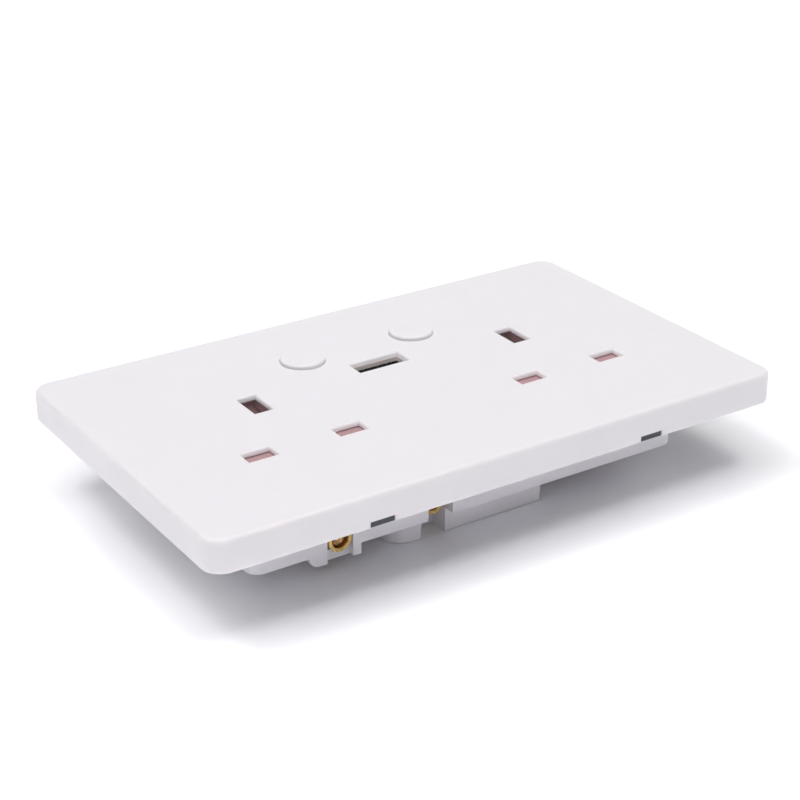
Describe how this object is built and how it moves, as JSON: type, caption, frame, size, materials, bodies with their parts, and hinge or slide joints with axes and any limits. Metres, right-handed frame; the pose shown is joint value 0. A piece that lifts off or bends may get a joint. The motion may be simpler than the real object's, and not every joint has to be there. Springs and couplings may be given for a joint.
{
  "type": "usb wall socket",
  "caption": "White flush wall socket with shuttered three-pin outlets, a USB port and round push buttons on a clip-on cover plate.",
  "frame": {"origin": "under the plate's middle, on the rear cover's back, the lowest face when the socket lies face up", "axes": "+X along the plate, +Y upwards once on a wall, +Z out of the face"},
  "size_m": [0.146, 0.088, 0.0284],
  "materials": {
    "white_plastic": "satin moulded",
    "housing_plastic": "fine moulded texture",
    "base_plastic": "moulded, blue-black",
    "shutter_plastic": "moulded, dusty red",
    "zinc_steel": "zinc plated",
    "spring_steel": "drawn wire",
    "usb_steel": "bright nickel plated",
    "brass": "bright stamped",
    "black_plastic": "moulded",
    "board_laminate": "solder mask",
    "relay_case": "moulded",
    "winding": "taped winding and ferrite",
    "can_sleeve": "sleeved can",
    "shield_can": "stamped"
  },
  "bodies": {
    "socket": {"cover_plate": "white_plastic", "mounting_frame": "zinc_steel", "base_housing": "base_plastic", "rear_cover": "housing_plastic", "shutter_spring_left": "spring_steel", "shutter_spring_right": "spring_steel", "neutral_strap_left": "brass", "neutral_strap_right": "brass", "line_strap": "brass", "line_contact_left": "brass", "line_contact_right": "brass", "earth_strap": "brass", "line_terminal": "brass", "neutral_terminal": "brass", "earth_terminal": "brass", "line_terminal_screw": "brass", "neutral_terminal_screw": "brass", "earth_terminal_screw": "brass", "circuit_board": "board_laminate", "usb_shell": "usb_steel", "usb_tongue": "black_plastic", "usb_contacts": "brass", "switch_left": "black_plastic", "switch_right": "black_plastic", "relay_left": "relay_case", "relay_right": "relay_case", "transformer": "winding", "capacitor": "can_sleeve", "wireless_module": "shield_can", "frame_screws": "zinc_steel", "cover_screws": "zinc_steel", "board_screws": "zinc_steel"},
    "button_left": {"button_left": "white_plastic", "switch_plunger_left": "black_plastic"},
    "button_right": {"button_right": "white_plastic", "switch_plunger_right": "black_plastic"},
    "shutter_left": {"shutter_left": "shutter_plastic"},
    "shutter_right": {"shutter_right": "shutter_plastic"}
  },
  "joints": [
    {"name": "button_left_press", "type": "slide", "parent": "socket", "child": "button_left", "axis": [0, 0, -1], "range_m": [0, 0.0006], "stiffness_N_per_m": 200, "springref_m": -0.003},
    {"name": "button_right_press", "type": "slide", "parent": "socket", "child": "button_right", "axis": [0, 0, -1], "range_m": [0, 0.0006], "stiffness_N_per_m": 200, "springref_m": -0.003},
    {"name": "shutter_left_slide", "type": "slide", "parent": "socket", "child": "shutter_left", "axis": [0, 1, 0], "range_m": [0, 0.0059], "stiffness_N_per_m": 60, "springref_m": -0.006, "deforming": ["shutter_spring_left"]},
    {"name": "shutter_right_slide", "type": "slide", "parent": "socket", "child": "shutter_right", "axis": [0, 1, 0], "range_m": [0, 0.0059], "stiffness_N_per_m": 60, "springref_m": -0.006, "deforming": ["shutter_spring_right"]}
  ]
}
